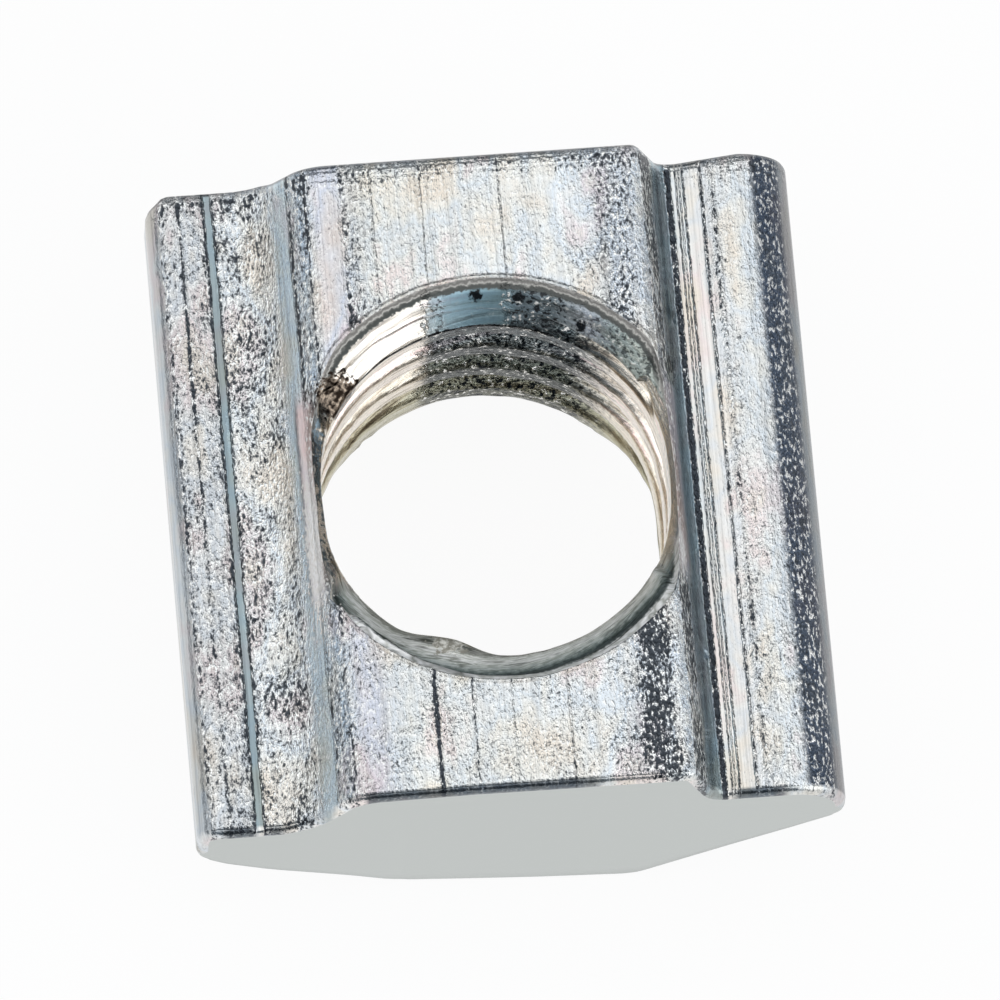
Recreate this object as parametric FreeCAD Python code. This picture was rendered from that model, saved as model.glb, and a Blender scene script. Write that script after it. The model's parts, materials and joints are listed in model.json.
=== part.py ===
# T slot nut with an M8 thread, for a profile slot of 8 mm.
# A length of cold drawn steel bar with a T section, drilled, countersunk and tapped from its crown.
# Millimetres. X runs across the slot, Y along it, Z up out of it.
# The origin lies on the thread's axis, in the plane of the flat base.
import FreeCAD, Part
import math
import os

# Thread and the hole that it is cut in
thread_diameter = 8.0
thread_pitch = 1.25
tap_allowance = 0.05
mouth_allowance = 0.05
mouth_half_angle = 45.0
underside_chamfer = 0.3

# Metal left round the hole, which gives the nut its width and length
side_wall = 2.8
end_wall = 2.95

# Heights of the section, from the base up
bevel_height = 2.6
side_height = 1.7
crown_height = 1.3

# Widths of the section, measured in from each side
bevel_width = 3.9
flange_width = 3.0

# Slope of the shoulders between flange and crown, which the draw has left uneven
left_shoulder_angle = 55.0
right_shoulder_angle = 70.0

# Rounds of the section
left_crown_round = 0.9
right_crown_round = 0.45
left_root_round = 1.0
right_root_round = 0.3
left_flange_round = 0.45
right_flange_round = 1.0
lower_side_round = 0.4
base_round = 1.2

# Edge of the cut ends, worn round by tumbling
end_round = 0.15

# Largest share of a straight run that a round may take at each of its ends
round_share = 0.45

# Largest angle between the Y axis and the direction that a cut end faces
end_face_tilt = 1.0

# Sizes that follow
bore_diameter = thread_diameter - thread_pitch + tap_allowance
mouth_diameter = thread_diameter + mouth_allowance
overall_width = bore_diameter + 2 * side_wall
overall_length = bore_diameter + 2 * end_wall
flange_top = bevel_height + side_height
crown_top = flange_top + crown_height
half_width = overall_width / 2
half_length = overall_length / 2
half_base = half_width - bevel_width
half_crown = half_width - flange_width
bore_radius = bore_diameter / 2


def shoulder_run(angle):
    """Width that a shoulder of this slope takes over the crown's height."""
    return crown_height / math.tan(math.radians(angle))


def section_corners():
    """Corners of the section as (x, z, round), once round from the right end of the base."""
    right_root = half_crown + shoulder_run(right_shoulder_angle)
    left_root = half_crown + shoulder_run(left_shoulder_angle)
    return [
        (half_base, 0.0, base_round),
        (half_width, bevel_height, lower_side_round),
        (half_width, flange_top, right_flange_round),
        (right_root, flange_top, right_root_round),
        (half_crown, crown_top, right_crown_round),
        (-half_crown, crown_top, left_crown_round),
        (-left_root, flange_top, left_root_round),
        (-half_width, flange_top, left_flange_round),
        (-half_width, bevel_height, lower_side_round),
        (-half_base, 0.0, base_round),
    ]


def corner_arc(before, corner, after, radius):
    """Start, middle and end of the round that touches both runs at a corner."""
    back = before - corner
    ahead = after - corner
    shorter = min(back.Length, ahead.Length)
    back.normalize()
    ahead.normalize()
    half_angle = back.getAngle(ahead) / 2
    reach = min(radius / math.tan(half_angle), round_share * shorter)
    radius = reach * math.tan(half_angle)
    inward = back + ahead
    inward.normalize()
    centre = corner + inward * (radius / math.sin(half_angle))
    return corner + back * reach, centre - inward * radius, corner + ahead * reach


def rounded_section(y):
    """Face of the section in the plane at y, its corners joined by straight runs and rounds."""
    corners = section_corners()
    points = [FreeCAD.Vector(x, y, z) for x, z, radius in corners]
    arcs = []
    for index, point in enumerate(points):
        following = points[(index + 1) % len(points)]
        arcs.append(corner_arc(points[index - 1], point, following, corners[index][2]))
    edges = []
    for index, (start, middle, end) in enumerate(arcs):
        next_start = arcs[(index + 1) % len(arcs)][0]
        edges.append(Part.Arc(start, middle, end).toShape())
        edges.append(Part.LineSegment(end, next_start).toShape())
    return Part.Face(Part.Wire(edges))


def cut_bar():
    """The bar, cut to length, with the edges of both ends rounded."""
    bar = rounded_section(-half_length).extrude(FreeCAD.Vector(0, overall_length, 0))
    least_y = math.cos(math.radians(end_face_tilt))
    ends = [face for face in bar.Faces if face.Surface.TypeId == "Part::GeomPlane"
            and abs(face.normalAt(0, 0).y) > least_y]
    edges = [edge for face in ends for edge in face.Edges]
    return bar.makeFillet(end_round, edges)


def countersunk_hole():
    """The metal that the drill and both countersinks take out."""
    up = FreeCAD.Vector(0, 0, 1)
    drill = Part.makeCylinder(bore_radius, crown_top, FreeCAD.Vector(0, 0, 0), up)
    slope = math.tan(math.radians(mouth_half_angle))
    sink_depth = (mouth_diameter / 2 - bore_radius) / slope
    sink = Part.makeCone(bore_radius, mouth_diameter / 2, sink_depth,
                         FreeCAD.Vector(0, 0, crown_top - sink_depth), up)
    chamfer = Part.makeCone(bore_radius + underside_chamfer, bore_radius, underside_chamfer,
                            FreeCAD.Vector(0, 0, 0), up)
    return drill.fuse([sink, chamfer])


nut_body = cut_bar().cut(countersunk_hole())
nut_body = nut_body.removeSplitter()
nut_body = nut_body.Solids[0]

os.makedirs("parts", exist_ok=True)
nut_body.exportStep("parts/nut_body.step")
print("overall width", round(overall_width, 3), "length", round(overall_length, 3),
      "height", round(crown_top, 3))
print("volume", round(nut_body.Volume, 2), "solids valid", nut_body.isValid())
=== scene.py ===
import json

import bpy
import numpy as np
from mathutils import Matrix, Vector


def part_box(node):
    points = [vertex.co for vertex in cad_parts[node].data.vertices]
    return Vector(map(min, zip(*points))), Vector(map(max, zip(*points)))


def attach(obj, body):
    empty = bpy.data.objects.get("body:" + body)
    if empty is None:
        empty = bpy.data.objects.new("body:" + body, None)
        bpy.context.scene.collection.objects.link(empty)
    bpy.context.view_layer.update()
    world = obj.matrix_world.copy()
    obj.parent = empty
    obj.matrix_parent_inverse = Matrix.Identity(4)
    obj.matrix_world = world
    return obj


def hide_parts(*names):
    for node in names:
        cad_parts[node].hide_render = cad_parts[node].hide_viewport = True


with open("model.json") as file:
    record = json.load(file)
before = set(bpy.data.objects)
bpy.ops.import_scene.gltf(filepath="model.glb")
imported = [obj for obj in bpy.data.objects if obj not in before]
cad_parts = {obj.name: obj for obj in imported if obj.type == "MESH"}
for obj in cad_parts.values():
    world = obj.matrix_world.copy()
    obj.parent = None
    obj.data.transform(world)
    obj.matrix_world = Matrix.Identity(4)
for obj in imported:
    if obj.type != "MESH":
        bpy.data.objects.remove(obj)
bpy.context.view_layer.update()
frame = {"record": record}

# Nut body. One piece of cold drawn steel bar with a T section, sawn off, drilled, countersunk and
# tapped from its crown, then zinc plated. Drawing has left lines and torn strips along it, the
# countersink has rolled a lip round its mouth, and tumbling has rounded the cut ends.
MM = 0.001

nut_low, nut_high = (np.array(corner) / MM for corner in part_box("nut_body"))
mounts = {mount["name"]: mount for mount in frame["record"]["mounts"]}
half_width = nut_high[0]
crown_top = nut_high[2]
bore_radius = mounts["thread"]["dims"]["r_mm"]

# The nut is cut a little off its hole: more metal stands at the far end than at the near one
far_end = nut_high[1] + 0.154
near_end = nut_low[1] + 0.166
side_wear = 0.03
end_round = 0.15

# Section, as in the solid
flange_top = 4.3
bevel_height = 2.6
half_base = 2.3
half_crown = 3.2
left_root = -4.11
right_root = 3.673
left_flange_round, right_flange_round = 0.5, 1.1
left_root_round, right_root_round = 1.0, 0.3
left_crown_round, right_crown_round = 0.9, 0.25
lower_side_round, base_round = 0.4, 1.2
arc_steps = 14

# Hole and thread
thread_pitch = 1.25
thread_root = 3.94
thread_phase = 0.70
root_flat, flank_run = 0.07, 0.33
mouth_radius = 4.0
cone_foot = 5.21
lip_height, lip_bead = 0.07, 0.02
underside_chamfer = 0.3
thread_run_out = 0.5
thread_shelf = 4.2
shoulder_reach = 2.9

# Metal pressed into the hole: its right wall stands in, and a flake is pushed in at its near left
right_bulge, right_bulge_foot, left_bulge = 0.12, 0.04, 0.08
flake_depth, flake_angle, flake_height = 0.25, np.radians(-111.0), 5.1

# Grid of the mesh: columns run out from the hole to the ends and sides, rows run round the hole
end_columns, side_columns, corner_columns = 206, 62, 8
thread_rows, sink_rows, top_rows, outer_rows, base_rows = 60, 30, 60, 9, 18
corner_round = 0.3
side_joint_top, side_joint_low = 3.0, 2.95
face_inset = 0.2


def rounded_path(corners, rounds):
    """Straight runs joined by arcs. At each inner corner the path leaves the run where an arc of that
    radius touches it, at radius over the tangent of half the angle, and turns about its centre."""
    corners = np.array(corners, float)
    points = [corners[:1]]
    for before, corner, after, radius in zip(corners[:-2], corners[1:-1], corners[2:], rounds):
        back = (before - corner) / np.linalg.norm(before - corner)
        ahead = (after - corner) / np.linalg.norm(after - corner)
        half_angle = np.arccos(back @ ahead) / 2
        inward = (back + ahead) / np.linalg.norm(back + ahead)
        centre = corner + inward * radius / np.sin(half_angle)
        start = corner + back * radius / np.tan(half_angle) - centre
        end = corner + ahead * radius / np.tan(half_angle) - centre
        share = np.linspace(0, 1, arc_steps)[:, None]
        chord = start * (1 - share) + end * share
        points.append(centre + radius * chord / np.linalg.norm(chord, axis=1, keepdims=True))
    return np.vstack(points + [corners[-1:]])


def section_line(corners, rounds, upward):
    """A stretch of the section as a function: it turns a distance along the stretch, counted from the
    nut's middle, into a place (x, z) and the direction (x, z) that points out of the metal."""
    path = rounded_path(corners, rounds)
    run = np.concatenate([[0], np.cumsum(np.linalg.norm(np.diff(path, axis=0), axis=1))])
    fine = np.linspace(0, run[-1], 1600)
    x, z = (np.interp(fine, run, path[:, axis]) for axis in (0, 1))
    out_x, out_z = -np.gradient(z, fine) * upward, np.gradient(x, fine) * upward
    distance = fine - np.interp(0, x, fine)

    def place(along):
        return tuple(np.interp(along, distance, values) for values in (x, z, out_x, out_z))

    def along_at(wanted_x, inset=0.0):
        return np.interp(wanted_x, x - out_x * inset, distance)

    return place, along_at, distance[0], distance[-1]


left_side, right_side = -half_width + side_wear, half_width - side_wear
top_place, top_along, top_first, top_last = section_line(
    [(left_side, side_joint_top), (left_side, flange_top), (left_root, flange_top),
     (-half_crown, crown_top), (half_crown, crown_top), (right_root, flange_top),
     (right_side, flange_top), (right_side, side_joint_top)],
    [left_flange_round, left_root_round, left_crown_round, right_crown_round, right_root_round,
     right_flange_round], 1)
base_place, base_along, base_first, base_last = section_line(
    [(left_side, side_joint_low), (left_side, bevel_height), (-half_base, 0), (half_base, 0),
     (right_side, bevel_height), (right_side, side_joint_low)],
    [lower_side_round, base_round, base_round, lower_side_round], -1)


def hole_wall(z, angle):
    """Radius of the hole at a height and an angle. The thread climbs one pitch in a turn: its root is
    flat, its flanks run in at 60 degrees, and its crest is what the drill left. It runs out above the
    base, and at the sides below the shoulders. The countersink is a cone of 45 degrees with a rolled
    lip round its mouth, which follows the crown. The hole is as wide as the widest of them, less the
    bulge at its right, which falls off as the exponential of the cosine of the angle."""
    turns = z / thread_pitch - angle / (2 * np.pi) - thread_phase
    from_root = np.abs(turns - np.round(turns)) * thread_pitch
    flank = np.clip((from_root - root_flat) / flank_run, 0, 1)
    flank = 0.5 * flank + 0.5 * flank * flank * (3 - 2 * flank)
    bevel_slope = bevel_height / (half_width - half_base)
    above_base = z - np.maximum(bore_radius * np.abs(np.cos(angle)) - half_base, 0) * bevel_slope
    depth = (thread_root - bore_radius) * np.clip((above_base - underside_chamfer) / thread_run_out, 0, 1)
    beside = np.clip((bore_radius * np.abs(np.cos(angle)) - shoulder_reach) / 0.25, 0, 1)
    depth *= 1 - beside * np.clip((z - thread_shelf + thread_run_out) / thread_run_out, 0, 1)
    thread = bore_radius + depth * (1 - flank)
    cone = bore_radius + z - cone_foot
    lip_width = mouth_radius - (bore_radius + crown_top - cone_foot)
    crest = top_place(top_along(mouth_radius * np.cos(angle)))[1]
    lip_rise = np.clip((z - crest + lip_height) / lip_height, 0, 1)
    mouth = cone + lip_width * (1 - np.sqrt(1 - lip_rise ** 2))
    chamfer = bore_radius + underside_chamfer - above_base
    bulge = right_bulge * np.exp((np.cos(angle) - 1) / 0.08)
    return np.maximum(np.maximum(thread, mouth), chamfer) - bulge


def rim_height(angle, start, stop, place, along_at, side):
    """Height at which the hole's wall first comes out through the top or the base, at each angle."""
    levels = np.linspace(start, stop, 900)[:, None]
    surface = place(along_at(hole_wall(levels, angle[None, :]) * np.cos(angle[None, :])))[1]
    beyond = (levels - surface) * side >= 0
    beyond[-1] = True
    return levels[np.argmax(beyond, axis=0), 0]


def value_noise(x, y, grain, seed):
    """Smooth noise from -1 to 1: random heights on a square net of this grain, joined by cubics."""
    heights = np.random.default_rng(seed).uniform(-1, 1, (64, 64))
    i, j = np.floor(x / grain).astype(int), np.floor(y / grain).astype(int)
    a, b = x / grain - i, y / grain - j
    a, b = a * a * (3 - 2 * a), b * b * (3 - 2 * b)
    near = heights[i % 64, j % 64] * (1 - b) + heights[i % 64, (j + 1) % 64] * b
    far = heights[(i + 1) % 64, j % 64] * (1 - b) + heights[(i + 1) % 64, (j + 1) % 64] * b
    return near * (1 - a) + far * a


def between(value, low, high, blur):
    """1 where a value lies between two limits, falling smoothly to 0 over the blur outside them."""
    rise = np.clip((value - low + blur) / blur, 0, 1)
    fall = np.clip((high + blur - value) / blur, 0, 1)
    return rise * rise * (3 - 2 * rise) * fall * fall * (3 - 2 * fall)


def rounded_loop(first, last, near, far, radius):
    """Points once round a rectangle with rounded corners, anticlockwise from the near right corner."""
    turn = np.linspace(0, np.pi / 2, corner_columns + 2)[1:-1]
    sides = [(last, near + radius, last, far - radius, side_columns),
             (last - radius, far, first + radius, far, end_columns),
             (first, far - radius, first, near + radius, side_columns),
             (first + radius, near, last - radius, near, end_columns)]
    centres = [(last - radius, far - radius), (first + radius, far - radius),
               (first + radius, near + radius), (last - radius, near + radius)]
    points = []
    for quarter, ((x0, y0, x1, y1, count), (cx, cy)) in enumerate(zip(sides, centres)):
        points.append(np.stack([np.linspace(x0, x1, count), np.linspace(y0, y1, count)], 1))
        swing = turn + quarter * np.pi / 2
        points.append(np.stack([cx + radius * np.cos(swing), cy + radius * np.sin(swing)], 1))
    return np.vstack(points)


def wrap_end(place, along, length):
    """Place of a point of the drawn surface. Past the start of an end's edge the surface turns in on a
    round, and then goes straight in over the cut face, square to the section's outline."""
    x, z, out_x, out_z = place(along)
    reach = np.where(length > 0, far_end, -near_end) - end_round
    over = np.maximum(np.abs(length) - reach, 0)
    turn = np.minimum(over / end_round, np.pi / 2)
    inset = end_round * (1 - np.cos(turn)) + np.maximum(over - end_round * np.pi / 2, 0)
    y = np.sign(length) * (np.minimum(np.abs(length), reach) + end_round * np.sin(turn))
    return np.stack([x - out_x * inset, y, z - out_z * inset], axis=-1)


def drawn_relief(x, y):
    """Height of the marks of the draw above the clean section: a torn and dented strip down the left
    flange, grooves along both shoulders, and a slow waviness across the crown."""
    torn = between(x, -4.85, -4.0, 0.15)
    dented = torn * between(y, -3.2, 2.4, 1.2)
    height = 0.022 * torn * value_noise(x, y * 0.6, 0.17, 1)
    height += 0.05 * dented * value_noise(x, y, 0.42, 2)
    height -= 0.05 * between(x, -5.06, -4.95, 0.06)
    height += 0.02 * between(x, -3.42, -3.3, 0.05) * (0.6 + 0.8 * value_noise(x, y, 0.2, 3))
    height -= 0.04 * between(x, -2.52, -2.42, 0.06) * between(y, 3.0, 6.3, 0.4)
    height -= 0.035 * between(x, 3.76, 3.84, 0.05)
    height -= 0.02 * between(x, 4.42, 4.5, 0.05) * (0.7 + value_noise(x, y * 0.3, 0.5, 4))
    height += 0.006 * value_noise(x, y * 0.12, 0.3, 5)
    return height


face_margin = end_round * np.pi / 2 - end_round + 0.06
loop = rounded_loop(top_first, top_last, near_end - face_margin, far_end + face_margin, corner_round)
loop_along, loop_length = loop[:, 0], loop[:, 1]
angle = np.arctan2(loop_length, loop_along)

# Hole, from its lower rim up to its upper one, with the metal that is pressed into it
upper_rim = rim_height(angle, 2.8, crown_top, top_place, top_along, 1)
lower_rim = rim_height(angle, 2.8, 0.0, base_place, base_along, -1)
thread_share = np.linspace(0, 1, thread_rows, endpoint=False)[:, None]
sink_share = 1 - (1 - np.linspace(0, 1, sink_rows)[:, None]) ** 1.6
wall_z = np.concatenate([lower_rim * (1 - thread_share) + thread_shelf * thread_share,
                         thread_shelf * (1 - sink_share) + upper_rim * sink_share])
wall_r = hole_wall(wall_z, angle[None, :])
flake = np.exp(-((angle - flake_angle) / 0.2) ** 2) * np.exp(-((wall_z - flake_height) / 0.16) ** 2)
pressed_right = np.exp((np.cos(angle) - 1) / 0.08) * np.clip((3.0 - wall_z) / 1.2, 0, 1)
pressed_left = np.exp((-np.cos(angle) - 1) / 0.03) * np.clip((wall_z - 2.0) / 1.2, 0, 1)
wall_r = wall_r - flake_depth * flake - right_bulge_foot * pressed_right - left_bulge * pressed_left
wall_r += 0.012 * value_noise(angle * bore_radius, wall_z * 3, 0.35, 6)
wall = np.stack([wall_r * np.cos(angle), wall_r * np.sin(angle), wall_z], axis=-1)

# Top, from the rim out to the sides and over the edges of the ends, with the lip round the mouth
share = np.linspace(0, 1, top_rows)[1:, None] ** 1.3
plain_rim = np.where(np.abs(np.cos(angle)) * mouth_radius < half_crown, mouth_radius, bore_radius + 0.2)
plain_along = top_along(plain_rim * np.cos(angle))
strayed = np.clip(1 - share / 0.3, 0, 1) ** 2
top_s = plain_along * (1 - share) + loop_along * share
top_s += (top_along(wall[-1, :, 0]) - plain_along) * strayed
top_t = plain_rim * np.sin(angle) * (1 - share) + loop_length * share
top_t += (wall[-1, :, 1] - plain_rim * np.sin(angle)) * strayed
top = wrap_end(top_place, top_s, top_t)
from_rim = np.hypot(top[..., 0] - wall[-1, :, 0], top[..., 1] - wall[-1, :, 1])
on_top = between(top[..., 1], near_end + end_round, far_end - end_round, 0.1)
on_top *= between(top_s, top_first + 1.4, top_last - 1.9, 0.3)
lip = lip_bead * np.exp(-((from_rim - 0.03) / 0.04) ** 2)
lip = lip - 0.003 * np.exp(-((from_rim - 0.11) / 0.04) ** 2)
top[..., 2] += lip + drawn_relief(top[..., 0], top[..., 1]) * on_top * np.clip(from_rim / 0.2, 0, 1)

# Base, the same way, with its columns under the top's
base_edge = base_along(top[-1, :, 0], face_inset)
base_edge = np.where(loop_along > top_last - corner_round, base_last - (top_last - loop_along), base_edge)
base_edge = np.where(loop_along < top_first + corner_round, base_first - (top_first - loop_along), base_edge)
share = np.linspace(1, 0, base_rows)[:-1, None] ** 1.2
base_s = base_along(wall[0, :, 0]) * (1 - share) + base_edge * share
base_t = wall[0, :, 1] * (1 - share) + loop_length * share
base = wrap_end(base_place, base_s, base_t)

# Sides and cut faces, straight down from the top's edge to the base's
share = np.linspace(0, 1, outer_rows + 2)[1:-1, None, None]
outer = top[-1] * (1 - share) + base[0] * share

grid = np.concatenate([wall, top, outer, base])
rows, columns = grid.shape[:2]

# Place along the draw, for the marks of the ends: it runs on over the rounded edges
drawn_length = grid[..., 1].copy()
drawn_length[len(wall):len(wall) + len(top)] = top_t

# The saw has left both faces a little out of square
x, y, high_share = grid[..., 0], grid[..., 1], grid[..., 2] / crown_top
near_base = np.interp(x, [-6.2, -5.6, -4.9, -3.0, -2.2, -1.0, 0.5, 2.3, 4.0, 5.2, 6.2],
                      [0.05, -0.08, -0.08, 0.01, 0.04, -0.03, -0.11, -0.18, -0.15, -0.13, -0.08])
near_top = np.interp(x, [-6.2, -4.5, -3.2, -1.0, 3.2, 4.0, 6.2], [-0.1, -0.1, 0.0, 0.03, 0.01, 0.02, 0.0])
near_share = np.clip((-y - 4.4) / 1.8, 0, 1) ** 2
far_shift = 0.12 * np.clip((x - 4.0) / 1.2, 0, 1) - 0.5 * np.clip(-5.85 - x, 0, 1)
far_shift += 0.05 * between(x, -5.7, -4.0, 0.3)
grid[..., 1] += near_share * (near_base * (1 - high_share) + near_top * high_share)
grid[..., 1] += np.clip((y - 4.4) / 1.8, 0, 1) ** 2 * far_shift

# Distance from the hole's mouth in millimetres, for the marks that run round it
away = 9.0
from_mouth = np.full((rows, columns), away)
from_mouth[len(wall):len(wall) + len(top)] = from_rim
from_mouth[:len(wall)] = -np.linalg.norm(wall - wall[-1], axis=-1)

index = np.arange(rows * columns).reshape(rows, columns)
next_row, next_column = np.roll(index, -1, axis=0), np.roll(index, -1, axis=1)
faces = np.stack([index, next_row, np.roll(next_row, -1, axis=1), next_column], axis=-1)

mesh = bpy.data.meshes.new("t_slot_nut")
mesh.from_pydata((grid.reshape(-1, 3) * MM).tolist(), [], faces.reshape(-1, 4).tolist())
mesh.polygons.foreach_set("use_smooth", np.ones(rows * columns, bool))
wall_rows = thread_rows + sink_rows
face_row = np.repeat(np.arange(rows), columns)
face_middle = (grid + np.roll(grid, -1, axis=1)).reshape(-1, 3) / 2
first_cut = wall_rows + len(top) - 1
cut_face = (face_row >= first_cut) & (face_row < first_cut + outer_rows + 2)
cut_face &= (np.abs(face_middle[:, 1]) > -near_end - 0.3) & (np.abs(face_middle[:, 0]) < half_width - 0.1)
finish = np.where(face_row < wall_rows - 1, 2, np.where(cut_face, 1, 0))
mesh.polygons.foreach_set("material_index", finish.astype(np.int32))
for name, values in (("from_mouth", from_mouth), ("drawn_length", drawn_length)):
    mesh.attributes.new(name, "FLOAT", "POINT").data.foreach_set("value", values.ravel())
mesh.update()
nut = bpy.data.objects.new("t_slot_nut", mesh)
bpy.context.scene.collection.objects.link(nut)


def linear(hex_colour):
    """Linear colour of an sRGB hex value, by the standard curve."""
    parts = np.array([int(hex_colour[i:i + 2], 16) / 255 for i in (1, 3, 5)])
    parts = np.where(parts <= 0.04045, parts / 12.92, ((parts + 0.055) / 1.055) ** 2.4)
    return (*parts.tolist(), 1.0)


def add(tree, kind, inputs=None, **settings):
    """Adds a shader node of this kind, gives it its settings, and fills its inputs: a socket is linked, a
    value is set."""
    node = tree.nodes.new("ShaderNode" + kind)
    for name, value in settings.items():
        setattr(node, name, value)
    for name, value in (inputs or {}).items():
        if isinstance(value, bpy.types.NodeSocket):
            tree.links.new(value, node.inputs[name])
        else:
            node.inputs[name].default_value = value
    return node


def set_stops(ramp_node, stops):
    """Gives a colour ramp its stops, from pairs of a place from 0 to 1 and a linear colour."""
    ramp = ramp_node.color_ramp
    while len(ramp.elements) > 1:
        ramp.elements.remove(ramp.elements[-1])
    ramp.elements[0].position, ramp.elements[0].color = stops[0]
    for position, colour in stops[1:]:
        ramp.elements.new(position).color = colour


def across(x):
    """Place on a ramp across the nut, from 0 at its left side to 1 at its right one."""
    return (x + half_width) / (2 * half_width)


def grey(value):
    return (value, value, value, 1.0)


def stretched_noise(tree, place, scale, detail, roughness):
    """Noise with this many grains to the millimetre along X, Y and Z."""
    stretched = add(tree, "Mapping", {"Vector": place, "Scale": scale}).outputs[0]
    return add(tree, "TexNoise", {"Vector": stretched, "Scale": 1.0, "Detail": detail,
                                  "Roughness": roughness}).outputs["Fac"]


def shade_and_highlight_spots(tree, place, grain, colour):
    """Paints the torn metal of six spots round the hole in painted shade and painted highlights. Each is a
    ball, longer along Y where its slimness is under 1, whose edge the grain frays: painted shade in a brown
    and a green hollow where the countersink breaks out of the crown and in a black crack at the near right,
    and painted highlights on a white burr at the near right, a white burr at the left, and the cream flake
    at the near left."""
    for centre, slimness, reach, dark, pale in (((-2.8, 2.05, 4.95), 1.6, 0.68, "#241D18", "#9C8E80"),
                                                ((3.4, 2.15, 4.8), 1.0, 0.28, "#2B3638", "#C9CFC8"),
                                                ((3.34, -2.13, 4.7), 3.0, 0.14, "#120F0E", "#6E665E"),
                                                ((3.42, -1.5, 5.1), 0.4, 0.15, "#D8D4D2", "#FFFFFF"),
                                                ((-3.53, -1.05, 5.05), 0.17, 0.22, "#EAE6E2", "#FFFFFF"),
                                                ((-1.15, -3.05, 5.15), 1.5, 0.34, "#A8A498", "#FFFCF2")):
        squeezed = add(tree, "Mapping", {"Vector": place, "Scale": (1, slimness, 1)}).outputs[0]
        middle = (centre[0], centre[1] * slimness, centre[2])
        away = add(tree, "VectorMath", {0: squeezed, 1: middle}, operation="DISTANCE")
        away = add(tree, "Math", {0: grain, 1: 0.9, 2: away.outputs["Value"]},
                   operation="MULTIPLY_ADD").outputs[0]
        share = add(tree, "MapRange", {"Value": away, "From Min": reach + 0.5,
                                       "From Max": reach + 0.42}).outputs[0]
        flecks = add(tree, "MapRange", {"Value": grain, "From Min": 0.42, "From Max": 0.62})
        spot_shade_and_light = add(tree, "Mix", {0: flecks.outputs[0], 6: linear(dark), 7: linear(pale)},
                          data_type="RGBA").outputs[2]
        colour = add(tree, "Mix", {0: share, 6: colour, 7: spot_shade_and_light}, data_type="RGBA").outputs[2]
    return colour


# Zinc plate on the drawn skin: bright, lined along the draw, torn and pitted in strips, with the faint
# blue, pink and straw of its passivation
skin = bpy.data.materials.new("zinc_plate_on_drawn_skin")
skin.use_nodes = True
tree = skin.node_tree
shader = tree.nodes["Principled BSDF"]
place = add(tree, "TexCoord").outputs["Object"]
millimetres = add(tree, "Mapping", {"Vector": place, "Scale": (1000, 1000, 1000)}).outputs[0]
parts = add(tree, "SeparateXYZ", {"Vector": millimetres})

# The draw lines wander, more so on the left; tears are about 0.1 mm across, hair lines about 0.03 mm,
# and the tints of the passivation about 1.5 mm
wander = stretched_noise(tree, millimetres, (0.8, 0.5, 0.8), 3.0, 0.5)
fray = stretched_noise(tree, millimetres, (14, 7, 14), 2.0, 0.6)
tears = stretched_noise(tree, millimetres, (15, 8, 15), 2.5, 0.66)
clusters = stretched_noise(tree, millimetres, (1.8, 1.0, 1.8), 2.0, 0.5)
hairs = stretched_noise(tree, millimetres, (22, 0.35, 6), 3.0, 0.6)
tints = stretched_noise(tree, millimetres, (0.9, 0.45, 0.9), 3.0, 0.6)
left_share = add(tree, "MapRange", {"Value": parts.outputs["X"], "From Min": 2.5, "From Max": -3.5,
                                    "To Min": 0.02, "To Max": 0.07}).outputs[0]
wander = add(tree, "Math", {0: wander, 1: 0.5}, operation="SUBTRACT").outputs[0]
fray = add(tree, "Math", {0: fray, 1: 0.06, 2: -0.03}, operation="MULTIPLY_ADD").outputs[0]
shift = add(tree, "Math", {0: wander, 1: left_share, 2: fray}, operation="MULTIPLY_ADD").outputs[0]
line_x = add(tree, "Math", {0: parts.outputs["X"], 1: shift}, operation="ADD").outputs[0]
line_share = add(tree, "MapRange", {"Value": line_x, "From Min": -half_width,
                                    "From Max": half_width}).outputs[0]
far_share = add(tree, "MapRange", {"Value": parts.outputs["Y"], "From Min": -2.0,
                                   "From Max": 2.5}).outputs[0]
length = add(tree, "Attribute", attribute_name="drawn_length").outputs["Fac"]

# The ramps of the ends run from this far before a cut end, over this length
before_end, end_ramp = 1.2, 1.5
far_end_share, near_end_share = (add(tree, "MapRange", {
    "Value": length, "From Min": end - way_out * before_end,
    "From Max": end + way_out * (end_ramp - before_end)}).outputs[0]
    for end, way_out in ((far_end, 1.0), (near_end, -1.0)))

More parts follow.
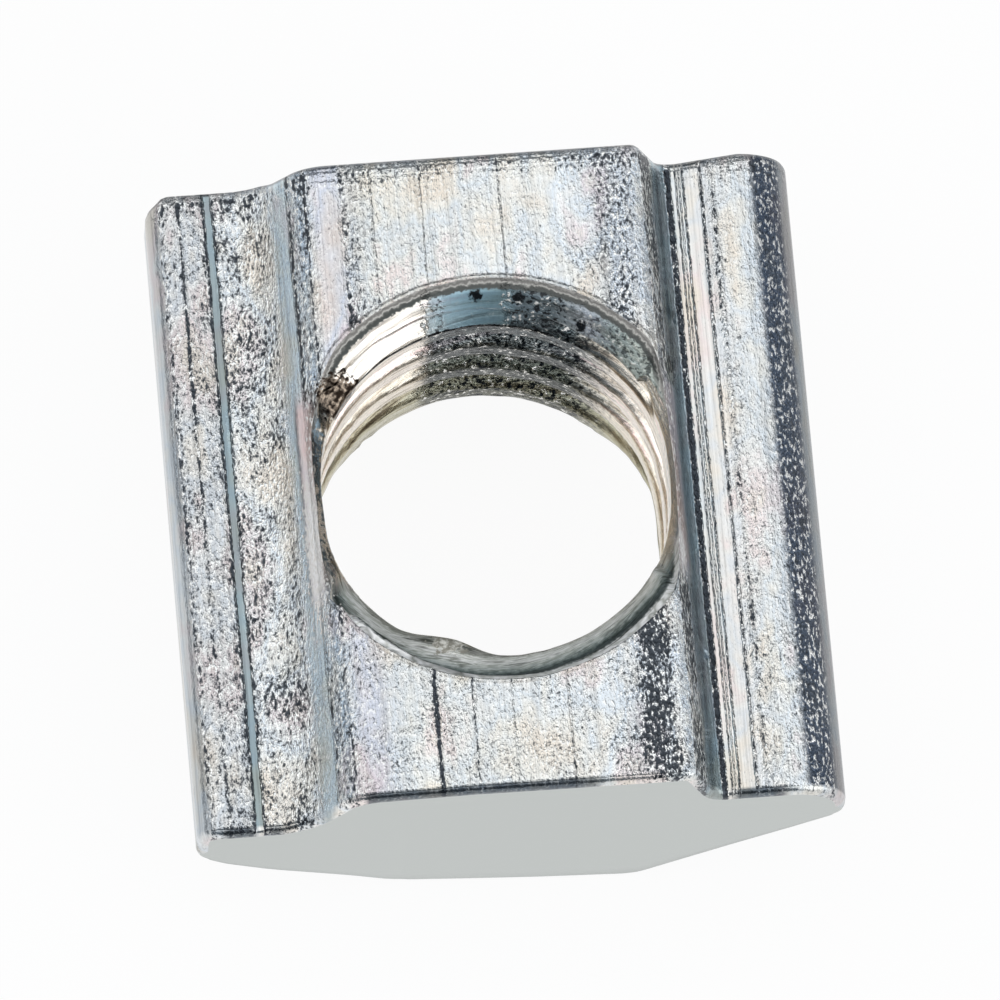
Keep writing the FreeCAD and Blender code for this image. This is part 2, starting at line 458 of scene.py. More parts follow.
# How torn the skin is, at the far end and at the near one, in three stretches across the nut
torn = None
for first, last, stops in [
        (-6.2, -2.2, [(-6.2, 0.1, 0.1), (-5.98, 0.12, 0.15), (-5.92, 0.46, 0.48), (-5.86, 0.46, 0.48),
                      (-5.8, 0.36, 0.38), (-5.6, 0.34, 0.38), (-5.57, 0.56, 0.5), (-5.54, 0.56, 0.5),
                      (-5.51, 0.36, 0.4), (-5.2, 0.37, 0.4), (-5.1, 0.42, 0.43), (-5.08, 0.75, 0.7),
                      (-5.04, 0.1, 0.1), (-4.93, 0.1, 0.1), (-4.9, 0.58, 0.6), (-4.86, 0.42, 0.42),
                      (-4.6, 0.44, 0.43), (-4.1, 0.44, 0.43), (-3.9, 0.4, 0.42), (-3.78, 0.26, 0.32),
                      (-3.54, 0.2, 0.24), (-3.5, 0.62, 0.5), (-3.46, 0.4, 0.43), (-3.3, 0.4, 0.4),
                      (-3.22, 0.4, 0.43), (-3.2, 0.6, 0.48), (-3.15, 0.38, 0.4), (-3.02, 0.26, 0.35),
                      (-2.56, 0.28, 0.35), (-2.51, 0.51, 0.36), (-2.46, 0.5, 0.36), (-2.38, 0.4, 0.35)]),
        (-2.2, 2.2, [(-2.2, 0.35, 0.35), (-1.98, 0.34, 0.35), (-1.95, 0.5, 0.35), (-1.92, 0.33, 0.35),
                     (-1.61, 0.31, 0.36), (-1.58, 0.31, 0.64), (-1.53, 0.31, 0.64), (-1.5, 0.31, 0.36),
                     (-1.02, 0.31, 0.35), (-1.0, 0.46, 0.35), (-0.98, 0.31, 0.35), (-0.87, 0.3, 0.35),
                     (-0.85, 0.3, 0.56), (-0.82, 0.3, 0.35), (-0.12, 0.3, 0.34), (-0.1, 0.3, 0.48),
                     (-0.08, 0.3, 0.34), (0.48, 0.3, 0.35), (0.5, 0.48, 0.35), (0.52, 0.3, 0.36),
                     (0.93, 0.3, 0.36), (0.95, 0.3, 0.56), (0.98, 0.3, 0.36), (1.6, 0.31, 0.35),
                     (2.2, 0.35, 0.4)]),
        (2.2, 6.2, [(2.2, 0.35, 0.4), (2.35, 0.42, 0.5), (2.6, 0.44, 0.55), (2.9, 0.44, 0.52),
                    (3.0, 0.38, 0.4), (3.2, 0.3, 0.34), (3.25, 0.5, 0.5), (3.42, 0.54, 0.54),
                    (3.5, 0.2, 0.2), (3.74, 0.15, 0.15), (3.78, 0.66, 0.66), (3.86, 0.66, 0.66),
                    (3.89, 0.15, 0.15), (3.95, 0.15, 0.15), (3.97, 0.58, 0.58), (3.99, 0.15, 0.15),
                    (4.02, 0.15, 0.15), (4.035, 0.54, 0.54), (4.05, 0.15, 0.15), (4.085, 0.15, 0.15),
                    (4.105, 0.62, 0.6), (4.13, 0.22, 0.24), (4.4, 0.22, 0.24), (4.44, 0.62, 0.6),
                    (4.48, 0.26, 0.3), (4.58, 0.33, 0.36), (4.65, 0.47, 0.46), (4.72, 0.33, 0.36),
                    (5.3, 0.29, 0.33), (5.5, 0.38, 0.42), (5.9, 0.38, 0.42), (6.0, 0.2, 0.2)])]:
    share = add(tree, "MapRange", {"Value": line_x, "From Min": first, "From Max": last}).outputs[0]
    ramp = add(tree, "ValToRGB", {"Fac": share})
    set_stops(ramp, [((x - first) / (last - first), (far, near, 0, 1)) for x, far, near in stops])
    if torn is None:
        torn = ramp.outputs[0]
        continue
    beyond = add(tree, "Math", {0: line_x, 1: first}, operation="GREATER_THAN").outputs[0]
    torn = add(tree, "Mix", {0: beyond, 6: torn, 7: ramp.outputs[0]}, data_type="RGBA").outputs[2]
torn = add(tree, "SeparateColor", {0: torn})
torn = add(tree, "Mix", {0: far_share, 2: torn.outputs[1], 3: torn.outputs[0]}).outputs[0]
torn_ends = []
for share, stops in (
        (far_end_share, [(-0.6, 0.1), (-0.45, 0.13), (-0.38, 0.18), (-0.32, 0.12), (-0.27, 0.2), (-0.2, 0.2),
                         (-0.15, 0.07), (-0.08, 0.04)]),
        (near_end_share, [(-0.3, 0.02), (-0.19, 0.05), (-0.14, 0.03), (0.0, 0.03)])):
    ramp = add(tree, "ValToRGB", {"Fac": share})
    set_stops(ramp, [((distance + before_end) / end_ramp, grey(value)) for distance, value in stops])
    torn_ends.append(ramp.outputs[0])
torn_ends = add(tree, "Math", {0: torn_ends[0], 1: torn_ends[1]}, operation="MAXIMUM")
torn = add(tree, "Math", {0: torn, 1: torn_ends.outputs[0]}, operation="ADD").outputs[0]
torn = add(tree, "Math", {0: torn, 1: 0.1}, operation="SUBTRACT").outputs[0]
tornness = add(tree, "MapRange", {"Value": torn, "From Min": 0.2, "From Max": 0.44}).outputs[0]
clusters = add(tree, "Math", {0: clusters, 1: 0.5}, operation="SUBTRACT").outputs[0]
clusters = add(tree, "Math", {0: clusters, 1: tornness}, operation="MULTIPLY").outputs[0]
torn = add(tree, "Math", {0: clusters, 1: 0.4, 2: torn}, operation="MULTIPLY_ADD").outputs[0]
depth = add(tree, "Math", {0: torn, 1: tears}, operation="SUBTRACT").outputs[0]
shaded_pits = add(tree, "MapRange", {"Value": depth, "From Min": -0.05, "From Max": 0.06}).outputs[0]
glinting_crumbs = add(tree, "MapRange", {"Value": tears, "From Min": 0.54, "From Max": 0.62}).outputs[0]
glinting_crumbs = add(tree, "Math", {0: glinting_crumbs, 1: tornness}, operation="MULTIPLY").outputs[0]

# Colour of each strip of the skin, then of the strips beside the hole. The blue grey strip on the crown's
# right edge and the navy strip on the right flange's round are painted reflection of the dark walls at the
# right
bands = [(-6.2, "#CACED0"), (-5.97, "#C6CACC"), (-5.85, "#D4D4D3"), (-5.12, "#DADAD9"), (-5.05, "#96A4A8"),
         (-4.93, "#96A4A8"), (-4.85, "#E9EAE9"), (-3.85, "#E8EAEA"), (-3.75, "#D6E2E7"),
         (-3.52, "#D0DCE2"), (-3.42, "#D8DCDE"), (-3.3, "#B4C0CA"), (-3.12, "#DCDEE0"),
         (-2.98, "#D5D4D9"), (-2.6, "#D4D4D9"), (-2.4, "#DDDFE0"), (-2.1, "#E8E7E2"), (1.9, "#E7E9E9"),
         (2.4, "#D2D6DA"), (3.0, "#DCDFE2"), (3.22, "#D8DDE0"), (3.27, "#F0F4F6"), (3.44, "#D4DCE0"),
         (3.52, "#B5C6CC"), (3.74, "#9FB2BB"), (3.9, "#E2E1DC"), (4.4, "#E6E3DF"), (5.0, "#E9E9E6"),
         (5.35, "#E0E3E4"), (5.48, "#525C6A"), (5.92, "#525C6A"), (6.0, "#84898C")]
band_node = add(tree, "ValToRGB", {"Fac": line_share})
set_stops(band_node, [(across(x), linear(colour)) for x, colour in bands])
# Beside the hole the dark lines along its rim are painted shade, where the top turns down into the hole
beside_hole = [(-3.74, "#B7C3C8", 0), (-3.68, "#6A6C6E", 1), (-3.63, "#F2E2E0", 1), (-3.48, "#F0E2E0", 1),
               (-3.42, "#A8A09E", 1), (-3.36, "#6A6664", 1), (-3.3, "#4A4A4A", 1), (-3.2, "#6A7278", 1),
               (-3.1, "#6A7278", 0), (3.2, "#6E6866", 0), (3.24, "#6E6866", 1), (3.27, "#5A5654", 1),
               (3.31, "#D8CCD0", 1), (3.46, "#C6BCC0", 1), (3.54, "#7C8084", 1), (3.6, "#7C858B", 0)]
beside_node = add(tree, "ValToRGB", {"Fac": line_share})
set_stops(beside_node, [(across(x), (*linear(colour)[:3], share)) for x, colour, share in beside_hole])
from_middle = add(tree, "Math", {0: parts.outputs["Y"]}, operation="ABSOLUTE").outputs[0]
middle = add(tree, "MapRange", {"Value": from_middle, "From Min": 2.2, "From Max": 1.7}).outputs[0]
middle = add(tree, "Math", {0: middle, 1: beside_node.outputs[1]}, operation="MULTIPLY").outputs[0]
colour = add(tree, "Mix", {0: middle, 6: band_node.outputs[0], 7: beside_node.outputs[0]},
             data_type="RGBA").outputs[2]

# The rounded edges of the cut ends are painted as shade: grey at the far one, dark at the near one, with
# painted highlights on the bright burrs of the near one
far_edge_shade = add(tree, "ValToRGB", {"Fac": far_end_share})
set_stops(far_edge_shade, [((distance + before_end) / end_ramp, (*linear("#85888B")[:3], share))
                     for distance, share in [(-0.12, 0.0), (-0.04, 1.0)]])
colour = add(tree, "Mix", {0: far_edge_shade.outputs[1], 6: colour, 7: far_edge_shade.outputs[0]},
             data_type="RGBA").outputs[2]
near_edge = add(tree, "MapRange", {
    "Value": near_end_share, "From Min": (before_end - 0.16) / end_ramp,
    "From Max": (before_end - 0.1) / end_ramp}).outputs[0]
near_edge_shade_and_burrs = add(tree, "ValToRGB", {"Fac": line_share})
set_stops(near_edge_shade_and_burrs, [(across(x), linear(colour)) for x, colour in
                  [(-6.0, "#D8DADA"), (-5.75, "#F0F0EE"), (-5.6, "#6A7176"), (-5.1, "#787D80"),
                   (-5.0, "#ECECEA"), (-4.7, "#74797C"), (-4.3, "#F2F2F0"), (-3.9, "#E4E6E6"),
                   (-3.7, "#A9B4B8"), (-3.5, "#F4F4F2"), (-3.05, "#F0F0EE"), (-2.95, "#6E757A"),
                   (0.9, "#6A7076"), (1.3, "#8C9194"), (1.5, "#E6E6E2"), (3.1, "#F0F0EC"),
                   (3.4, "#98A5AB"), (3.8, "#A0ACB0"), (3.9, "#E8E8E8"), (4.1, "#70777C"),
                   (4.9, "#70777C"), (5.1, "#E8E8E4"), (5.9, "#C9CBCC")]])
colour = add(tree, "Mix", {0: near_edge, 6: colour, 7: near_edge_shade_and_burrs.outputs[0]}, data_type="RGBA").outputs[2]

# Tints and hair lines multiply the colour, and so does painted shade at the grey foot of the rolled lip
tint_node = add(tree, "ValToRGB", {"Fac": tints})
set_stops(tint_node, [(0.32, linear("#FFF5EA")), (0.42, linear("#FFFDF9")), (0.49, linear("#F2F8FF")),
                      (0.55, linear("#FFFFFF")), (0.61, linear("#FFF5F6")), (0.7, linear("#FFF7EE"))])
hair_node = add(tree, "ValToRGB", {"Fac": hairs})
set_stops(hair_node, [(0.3, grey(0.72)), (0.45, grey(0.92)), (0.6, grey(1.0)), (0.75, grey(1.12))])
mouth = add(tree, "Attribute", attribute_name="from_mouth").outputs["Fac"]
lip_share = add(tree, "MapRange", {"Value": mouth, "From Max": 0.4}).outputs[0]
lip_shading_node = add(tree, "ValToRGB", {"Fac": lip_share})
set_stops(lip_shading_node, [(0.0, linear("#E6E2DE")), (0.08, linear("#F2F0EC")), (0.2, linear("#DEDBD8")),
                     (0.27, linear("#FFFFFF"))])
for factor in (tint_node, hair_node, lip_shading_node):
    colour = add(tree, "Mix", {0: 1.0, 6: colour, 7: factor.outputs[0]}, data_type="RGBA",
                 blend_type="MULTIPLY").outputs[2]
# Bright crumbs in the torn strips are painted glints, fewer on the near edge
smeared = add(tree, "MapRange", {"Value": near_edge, "To Min": 1.0, "To Max": 0.25}).outputs[0]
glinting_crumbs = add(tree, "Math", {0: glinting_crumbs, 1: smeared}, operation="MULTIPLY").outputs[0]
colour = add(tree, "Mix", {0: glinting_crumbs, 6: colour, 7: linear("#F4F4F2")}, data_type="RGBA").outputs[2]

# The strips beside the hole are smeared: matt, and without pits
smooth_share = add(tree, "MapRange", {"Value": middle, "To Min": 1.0, "To Max": 0.3}).outputs[0]
shaded_pits = add(tree, "Math", {0: shaded_pits, 1: smooth_share}, operation="MULTIPLY").outputs[0]
# The pits are painted dark, as the shade inside them
colour = add(tree, "Mix", {0: shaded_pits, 6: colour, 7: linear("#43484E")}, data_type="RGBA").outputs[2]
# Painted shade in the hollows and the crack, painted highlights on the burrs and the flake
colour = shade_and_highlight_spots(tree, millimetres, tears, colour)
tree.links.new(colour, shader.inputs["Base Color"])
tree.links.new(smooth_share, shader.inputs["Metallic"])

bump_lines = add(tree, "Bump", {"Height": hairs, "Strength": 1.0, "Distance": 0.004 * MM})
relief = add(tree, "MapRange", {"Value": torn, "From Min": 0.18, "From Max": 0.42,
                                "To Min": 0.12}).outputs[0]
relief = add(tree, "Math", {0: relief, 1: smeared}, operation="MULTIPLY").outputs[0]
relief = add(tree, "Math", {0: tears, 1: relief}, operation="MULTIPLY").outputs[0]
bump_tears = add(tree, "Bump", {"Height": relief, "Strength": 1.0, "Distance": 0.07 * MM,
                                "Normal": bump_lines.outputs[0]})
tree.links.new(bump_tears.outputs[0], shader.inputs["Normal"])
shader.inputs["Roughness"].default_value = 0.24
mesh.materials.append(skin)

# Zinc plate on the cut ends: satin, without draw lines
end = bpy.data.materials.new("zinc_plate_on_cut_end")
end.use_nodes = True
shader = end.node_tree.nodes["Principled BSDF"]
shader.inputs["Base Color"].default_value = linear("#C6CAC8")
shader.inputs["Metallic"].default_value = 1.0
shader.inputs["Roughness"].default_value = 0.42
mesh.materials.append(end)

# Zinc plate on the cut thread and countersink: ringed by the tap and rough at the far side. Light and shade
# are
# painted into it: dark at the far side, cream at the left and right, steel blue and white on the countersink
cut = bpy.data.materials.new("zinc_plate_on_cut_thread")
cut.use_nodes = True
tree = cut.node_tree
shader = tree.nodes["Principled BSDF"]
place = add(tree, "TexCoord").outputs["Object"]
millimetres = add(tree, "Mapping", {"Vector": place, "Scale": (1000, 1000, 1000)}).outputs[0]
parts = add(tree, "SeparateXYZ", {"Vector": millimetres})

# Rings are about 0.06 mm apart, specks about 0.08 mm across
rings = stretched_noise(tree, millimetres, (0.5, 0.5, 13), 4.0, 0.65)
specks = stretched_noise(tree, millimetres, (9, 9, 13), 2.0, 0.6)
ragged = add(tree, "Math", {0: specks, 1: 0.6, 2: -0.3}, operation="MULTIPLY_ADD").outputs[0]
height = add(tree, "Math", {0: ragged, 1: 0.12, 2: parts.outputs["Z"]}, operation="MULTIPLY_ADD").outputs[0]
height = add(tree, "MapRange", {"Value": height, "From Max": crown_top}).outputs[0]
# The far wall is painted dark as shade, and the walls at the left and right are painted cream as light
far_wall_shade = add(tree, "ValToRGB", {"Fac": height})
set_stops(far_wall_shade, [(z / crown_top, linear(colour)) for z, colour in
          [(0.0, "#A6A896"), (1.2, "#989A8B"), (1.6, "#70756E"), (2.3, "#7E847B"), (2.7, "#5A6160"),
           (3.4, "#868D8E"), (3.8, "#626A6C"), (4.5, "#76848A"), (5.1, "#1E2023")]])
side_walls_light = add(tree, "ValToRGB", {"Fac": height})
set_stops(side_walls_light, [(z / crown_top, linear(colour)) for z, colour in
          [(0.0, "#B5B59F"), (0.9, "#C9C7B2"), (1.5, "#F2ECDD"), (3.0, "#F6EFE6"), (4.9, "#F4EEE2")]])
place_x = add(tree, "Math", {0: parts.outputs["X"], 1: ragged}, operation="ADD").outputs[0]
place_x = add(tree, "MapRange", {"Value": place_x, "From Min": -half_width,
                                 "From Max": half_width}).outputs[0]
side_node = add(tree, "ValToRGB", {"Fac": place_x})
set_stops(side_node, [(across(x), grey(share)) for x, share in
                      [(-3.5, 1.0), (-1.15, 1.0), (-0.9, 0.0), (1.7, 0.0), (2.5, 1.0)]])
colour = add(tree, "Mix", {0: side_node.outputs[0], 6: far_wall_shade.outputs[0],
                           7: side_walls_light.outputs[0]}, data_type="RGBA").outputs[2]

# The thread's root climbs a pitch in a turn. Its crests are painted dark at the far side, as shade, and a
# black line of painted shade runs along the lower edge of its last groove, which the countersink has opened
angle = add(tree, "Math", {0: parts.outputs["Y"], 1: parts.outputs["X"]}, operation="ARCTAN2")
climb = add(tree, "Math", {0: angle.outputs[0], 1: -thread_pitch / (2 * np.pi),
                           2: parts.outputs["Z"]}, operation="MULTIPLY_ADD").outputs[0]
turns = add(tree, "Math", {0: climb, 1: 1 / thread_pitch, 2: -thread_phase},
            operation="MULTIPLY_ADD").outputs[0]
from_root = add(tree, "Math", {0: turns, 1: 0.5}, operation="PINGPONG").outputs[0]
crest = add(tree, "MapRange", {"Value": from_root, "From Min": 0.29, "From Max": 0.34,
                               "To Max": 0.6}).outputs[0]
far_crest = add(tree, "MapRange", {"Value": side_node.outputs[0], "To Min": 1.0, "To Max": 0.0})
crest = add(tree, "Math", {0: crest, 1: far_crest.outputs[0]}, operation="MULTIPLY").outputs[0]
colour = add(tree, "Mix", {0: crest, 6: colour, 7: linear("#3A4042")}, data_type="RGBA").outputs[2]
ragged_climb = add(tree, "Math", {0: ragged, 1: 0.08, 2: climb}, operation="MULTIPLY_ADD").outputs[0]
last_groove = (3 + thread_phase) * thread_pitch - root_flat - flank_run
over_edge = add(tree, "MapRange", {"Value": ragged_climb, "From Min": last_groove,
                                   "From Max": last_groove + 0.02}).outputs[0]
under_edge = add(tree, "MapRange", {"Value": ragged_climb, "From Min": last_groove - 0.12,
                                    "From Max": last_groove - 0.06}).outputs[0]
opened = add(tree, "ValToRGB", {"Fac": place_x})
set_stops(opened, [(across(x), grey(share)) for x, share in
                   [(-2.95, 0.0), (-2.85, 1.0), (1.2, 1.0), (1.5, 0.0)]])
behind = add(tree, "Math", {0: parts.outputs["Y"], 1: 0.0}, operation="GREATER_THAN").outputs[0]
opened = add(tree, "Math", {0: opened.outputs[0], 1: behind}, operation="MULTIPLY").outputs[0]
groove_edge_shade = add(tree, "Math", {0: under_edge, 1: opened}, operation="MULTIPLY").outputs[0]
colour = add(tree, "Mix", {0: groove_edge_shade, 6: colour, 7: linear("#1E2023")}, data_type="RGBA").outputs[2]

# The countersink is painted with reflections: white at the left, steel blue at the far side, sparkling dark
# and then grey green
on_cone = add(tree, "MapRange", {"Value": height, "From Min": 5.19 / crown_top,
                                 "From Max": 5.22 / crown_top}).outputs[0]
opened = add(tree, "Math", {0: over_edge, 1: opened}, operation="MULTIPLY").outputs[0]
on_cone = add(tree, "Math", {0: on_cone, 1: opened}, operation="MAXIMUM").outputs[0]
cone_reflection_node = add(tree, "ValToRGB", {"Fac": place_x})
set_stops(cone_reflection_node, [(across(x), linear(colour)) for x, colour in
          [(-1.08, "#FFFCF6"), (-1.0, "#C4D2D8"), (-0.6, "#B0D0DF"), (-0.1, "#90B2C0"), (0.35, "#83A0AB"),
           (0.7, "#73838C"), (1.35, "#727F86"), (1.65, "#9CA6AC"), (2.0, "#B4BCC6"), (2.4, "#A2B0B0"),
           (2.8, "#BCC8C4"), (3.1, "#D2DCD6"), (3.5, "#BAC6C2")]])
colour = add(tree, "Mix", {0: on_cone, 6: colour, 7: cone_reflection_node.outputs[0]}, data_type="RGBA").outputs[2]
ring_node = add(tree, "ValToRGB", {"Fac": rings})
set_stops(ring_node, [(0.32, linear("#8C827A")), (0.42, linear("#E9E2DA")), (0.55, linear("#FFFFFF")),
                      (0.66, linear("#FFEFF2"))])
ring_share = add(tree, "MapRange", {"Value": on_cone, "To Min": 1.0, "To Max": 0.7}).outputs[0]
colour = add(tree, "Mix", {0: ring_share, 6: colour, 7: ring_node.outputs[0]}, data_type="RGBA",
             blend_type="MULTIPLY").outputs[2]
roughened = add(tree, "MapRange", {"Value": side_node.outputs[0], "To Min": 1.0, "To Max": 0.12}).outputs[0]
sparkle = add(tree, "ValToRGB", {"Fac": place_x})
set_stops(sparkle, [(across(x), grey(share)) for x, share in
                    [(-1.1, 0.0), (-1.05, 0.8), (-0.85, 0.8), (-0.75, 0.1), (0.4, 0.15), (0.5, 1.0),
                     (1.5, 1.0), (1.7, 0.4), (2.0, 0.8), (3.0, 0.7), (3.4, 0.3)]])
roughened = add(tree, "Mix", {0: on_cone, 2: roughened, 3: sparkle.outputs[0]}).outputs[0]
far_side = add(tree, "MapRange", {"Value": parts.outputs["Y"], "From Min": -1.5, "From Max": 0.0,
                                  "To Min": 0.1}).outputs[0]
roughened = add(tree, "Math", {0: roughened, 1: far_side}, operation="MULTIPLY").outputs[0]
# The rough zones sparkle: painted shade in the pits and painted glints on the specks
shaded_pits = add(tree, "MapRange", {"Value": specks, "From Min": 0.47, "From Max": 0.4}).outputs[0]
shaded_pits = add(tree, "Math", {0: shaded_pits, 1: roughened}, operation="MULTIPLY").outputs[0]
glints = add(tree, "MapRange", {"Value": specks, "From Min": 0.6, "From Max": 0.66}).outputs[0]
glints = add(tree, "Math", {0: glints, 1: roughened}, operation="MULTIPLY").outputs[0]
colour = add(tree, "Mix", {0: shaded_pits, 6: colour, 7: linear("#22262A")}, data_type="RGBA").outputs[2]
colour = add(tree, "Mix", {0: glints, 6: colour, 7: linear("#F6F4F0")}, data_type="RGBA").outputs[2]

# Three round pits in the countersink, 0.2 mm across, painted black as the shade inside them
for centre in ((-0.1, 3.68, 5.5), (0.7, 3.59, 5.47), (1.84, 3.0, 5.33)):
    away = add(tree, "VectorMath", {0: millimetres, 1: centre}, operation="DISTANCE")
    away = add(tree, "Math", {0: ragged, 1: 0.5, 2: away.outputs["Value"]}, operation="MULTIPLY_ADD")
    share = add(tree, "MapRange", {"Value": away.outputs[0], "From Min": 0.14, "From Max": 0.09}).outputs[0]
    colour = add(tree, "Mix", {0: share, 6: colour, 7: linear("#10151A")}, data_type="RGBA").outputs[2]

# Left of the hole the wall under the rim is painted as shade, dark with a teal line, and at the right it is
# painted pale as light
beside_node = add(tree, "ValToRGB", {"Fac": place_x})
set_stops(beside_node, [(across(x), (*linear(colour)[:3], share)) for x, colour, share in
          [(-3.5, "#2E2C2C", 1), (-3.45, "#6A6F73", 1), (-3.4, "#2B2D30", 1), (-3.34, "#8FA2AE", 1),
           (-3.28, "#5A6A76", 1), (-3.18, "#5A6A76", 0), (3.23, "#C4C0BA", 0), (3.28, "#C4C0BA", 1)]])
from_middle = add(tree, "Math", {0: parts.outputs["Y"]}, operation="ABSOLUTE").outputs[0]
beside = add(tree, "MapRange", {"Value": from_middle, "From Min": 2.0, "From Max": 1.6}).outputs[0]
high_up = add(tree, "MapRange", {"Value": parts.outputs["Z"], "From Min": 4.0, "From Max": 4.4}).outputs[0]
beside = add(tree, "Math", {0: beside, 1: high_up}, operation="MULTIPLY").outputs[0]
beside = add(tree, "Math", {0: beside, 1: beside_node.outputs[1]}, operation="MULTIPLY").outputs[0]
colour = add(tree, "Mix", {0: beside, 6: colour, 7: beside_node.outputs[0]}, data_type="RGBA").outputs[2]

# The rolled lip is painted dark grey as shade, with a pale line of painted highlight in it. On the near side
# the countersink is painted pale at its foot as light and grey green under the lip as shade, with streaks
# that run round it, and matt
on_lip = add(tree, "MapRange", {"Value": parts.outputs["Z"], "From Min": 5.2, "From Max": 5.35}).outputs[0]
mouth = add(tree, "Attribute", attribute_name="from_mouth").outputs["Fac"]
rough_mouth = add(tree, "Math", {0: ragged, 1: 0.25, 2: mouth}, operation="MULTIPLY_ADD").outputs[0]
lip_share = add(tree, "MapRange", {"Value": rough_mouth, "From Min": -0.4, "From Max": 0.0}).outputs[0]
lip_shading_node = add(tree, "ValToRGB", {"Fac": lip_share})
set_stops(lip_shading_node, [(share, (*linear(colour)[:3], cover)) for share, colour, cover in
          [(0.43, "#4E5250", 0), (0.5, "#4E5250", 1), (0.62, "#4A4C4A", 1), (0.7, "#5C5D5A", 1),
           (0.78, "#B4B2AD", 1), (0.82, "#8C8A86", 1), (0.9, "#6E6C69", 1), (1.0, "#9C9A96", 1)]])
on_lip = add(tree, "Math", {0: on_lip, 1: lip_shading_node.outputs[1]}, operation="MULTIPLY").outputs[0]
colour = add(tree, "Mix", {0: on_lip, 6: colour, 7: lip_shading_node.outputs[0]}, data_type="RGBA").outputs[2]
near_place = add(tree, "MapRange", {"Value": rough_mouth, "From Min": -0.72, "From Max": 0.0}).outputs[0]
near_lip_shading = add(tree, "ValToRGB", {"Fac": near_place})
set_stops(near_lip_shading, [(share, linear(colour)) for share, colour in
          [(0.0, "#B8B8B0"), (0.09, "#F4F4EE"), (0.28, "#FFFFFC"), (0.38, "#D8DCD6"),
           (0.5, "#C4CBC8"), (0.58, "#8F9A97"), (0.68, "#525C5B"), (0.75, "#4E5555"), (0.8, "#7A8280"),
           (0.85, "#F0F0F0"), (1.0, "#FFFFFF")]])
streaks = add(tree, "ValToRGB", {"Fac": rings})
set_stops(streaks, [(0.36, linear("#7E807C")), (0.44, linear("#FFFFFF")), (0.49, linear("#C2C4BE")),
                    (0.53, linear("#FFFFFF")), (0.6, linear("#9A9C96")), (0.66, linear("#FFFFFF"))])
near_lip_shading = add(tree, "Mix", {0: 1.0, 6: near_lip_shading.outputs[0], 7: streaks.outputs[0]},
               data_type="RGBA", blend_type="MULTIPLY").outputs[2]
near_share = add(tree, "MapRange", {"Value": parts.outputs["Y"], "From Min": -1.2,
                                    "From Max": -2.0}).outputs[0]
colour = add(tree, "Mix", {0: near_share, 6: colour, 7: near_lip_shading}, data_type="RGBA").outputs[2]
# Painted shade in the hollows and the crack, painted highlights on the burrs and the flake
colour = shade_and_highlight_spots(tree, millimetres, specks, colour)
tree.links.new(colour, shader.inputs["Base Color"])
bump_rings = add(tree, "Bump", {"Height": rings, "Strength": 1.0, "Distance": 0.012 * MM})
relief = add(tree, "Math", {0: specks, 1: roughened}, operation="MULTIPLY").outputs[0]
bump_specks = add(tree, "Bump", {"Height": relief, "Strength": 1.0, "Distance": 0.05 * MM,
                                 "Normal": bump_rings.outputs[0]})
tree.links.new(bump_specks.outputs[0], shader.inputs["Normal"])
dull = add(tree, "MapRange", {"Value": near_share, "To Min": 1.0, "To Max": 0.45}).outputs[0]
cone_dull = add(tree, "MapRange", {"Value": place_x, "From Min": across(-1.1),
                                   "From Max": across(-1.0)}).outputs[0]
cone_dull = add(tree, "Math", {0: cone_dull, 1: on_cone}, operation="MULTIPLY").outputs[0]
cone_dull = add(tree, "MapRange", {"Value": cone_dull, "To Min": 1.0, "To Max": 0.35}).outputs[0]
dull = add(tree, "Math", {0: dull, 1: cone_dull}, operation="MINIMUM").outputs[0]
tree.links.new(dull, shader.inputs["Metallic"])
shader.inputs["Roughness"].default_value = 0.26
mesh.materials.append(cut)

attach(nut, "root")
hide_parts("nut_body")

# Floor. A sheet of matt white paper, on which the nut lies. It is white to the eye and in the metal,
# and it keeps the nut's soft shadow.
floor_reach = 1.0
floor_mesh = bpy.data.meshes.new("floor")
floor_corners = [(-floor_reach, -floor_reach, 0), (floor_reach, -floor_reach, 0),
                 (floor_reach, floor_reach, 0), (-floor_reach, floor_reach, 0)]
floor_mesh.from_pydata(floor_corners, [], [(0, 1, 2, 3)])
floor = bpy.data.objects.new("floor", floor_mesh)
bpy.context.scene.collection.objects.link(floor)
paper = bpy.data.materials.new("matt_white_paper")
paper.use_nodes = True
tree = paper.node_tree
shader = tree.nodes["Principled BSDF"]
shader.inputs["Base Color"].default_value = linear("#F4F4F4")
shader.inputs["Roughness"].default_value = 0.9
ray = add(tree, "LightPath")
seen = add(tree, "Math", {0: ray.outputs["Is Camera Ray"], 1: ray.outputs["Is Glossy Ray"]},
           operation="MAXIMUM").outputs[0]
seen = add(tree, "Math", {0: seen, 1: ray.outputs["Is Transmission Ray"]}, operation="MAXIMUM").outputs[0]
white_share = add(tree, "Math", {0: seen, 1: 0.93}, operation="MULTIPLY").outputs[0]
white = add(tree, "Emission", {"Color": (1, 1, 1, 1), "Strength": 1.0}).outputs[0]
mixed = add(tree, "MixShader", {0: white_share, 1: shader.outputs[0], 2: white}).outputs[0]
tree.links.new(mixed, tree.nodes["Material Output"].inputs["Surface"])
floor_mesh.materials.append(paper)

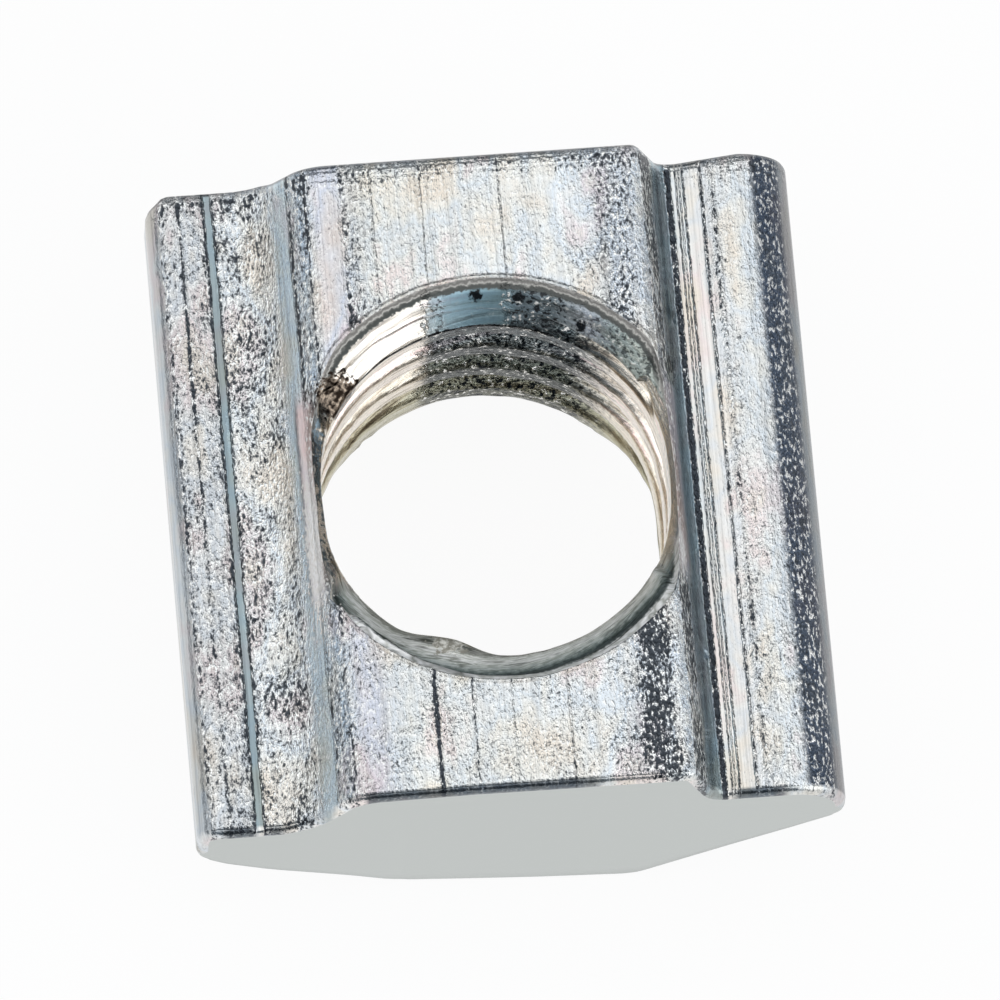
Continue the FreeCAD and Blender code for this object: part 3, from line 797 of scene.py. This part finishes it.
# Studio. Pale strip at the horizon, slate walls, and brighter above, with a large softbox overhead and
# a small one at each side, which give the metal its white planes and dark lines.
world = bpy.data.worlds.new("studio")
bpy.context.scene.world = world
world.use_nodes = True
tree = world.node_tree
way = add(tree, "TexCoord").outputs["Generated"]
height = add(tree, "SeparateXYZ", {"Vector": way}).outputs["Z"]
walls = add(tree, "ValToRGB", {"Fac": height})
set_stops(walls, [(0.0, linear("#E8E8E8")), (0.06, linear("#E8E8E8")), (0.10, linear("#4A545C")),
                  (0.62, linear("#4A545C")), (0.8, linear("#8A9096")), (1.0, linear("#8A9096"))])
tree.links.new(walls.outputs[0], tree.nodes["Background"].inputs["Color"])


def softbox(name, direction, distance, size, radiance):
    """A rectangular lamp that faces the nut from this direction. Its power is its radiance times pi
    times its area, so that it looks as bright as a surface of that value."""
    data = bpy.data.lights.new(name, "AREA")
    data.shape = "RECTANGLE"
    data.size, data.size_y = size
    data.energy = radiance * np.pi * size[0] * size[1]
    lamp = bpy.data.objects.new(name, data)
    outward = Vector(direction).normalized()
    lamp.location = outward * distance
    lamp.rotation_mode = "QUATERNION"
    lamp.rotation_quaternion = outward.to_track_quat("Z", "Y")
    bpy.context.scene.collection.objects.link(lamp)


softbox("overhead_softbox", (0.0, 0.12, 1.0), 0.3, (0.55, 0.55), 0.93)
softbox("right_softbox", (0.785, -0.435, 0.438), 0.25, (0.30, 0.17), 1.8)
softbox("left_softbox", (-0.82, 0.05, 0.57), 0.25, (0.18, 0.12), 1.6)

# Camera. A long lens that looks steeply down from the near left, turned a little about its own axis.
azimuth, elevation, roll = np.radians([-11.2699, 71.6345, 6.6714])
distance = 342.98
target = np.array([0.1757, 0.4634, 2.8])
lens = 647.95
back = np.array([np.sin(azimuth) * np.cos(elevation), -np.cos(azimuth) * np.cos(elevation),
                 np.sin(elevation)])
level_right = np.array([np.cos(azimuth), np.sin(azimuth), 0])
level_up = np.cross(back, level_right)
right_way = np.cos(roll) * level_right + np.sin(roll) * level_up
up_way = -np.sin(roll) * level_right + np.cos(roll) * level_up
camera_data = bpy.data.cameras.new("camera")
camera_data.sensor_width = 36
camera_data.lens = lens
camera = bpy.data.objects.new("camera", camera_data)
placement = Matrix.Identity(4)
for column, part in enumerate((right_way, up_way, back, (target + distance * back) * MM)):
    placement.col[column] = (*part, 1.0 if column == 3 else 0.0)
camera.matrix_world = placement
bpy.context.scene.collection.objects.link(camera)
bpy.context.scene.camera = camera
bpy.context.scene.view_settings.view_transform = "Standard"
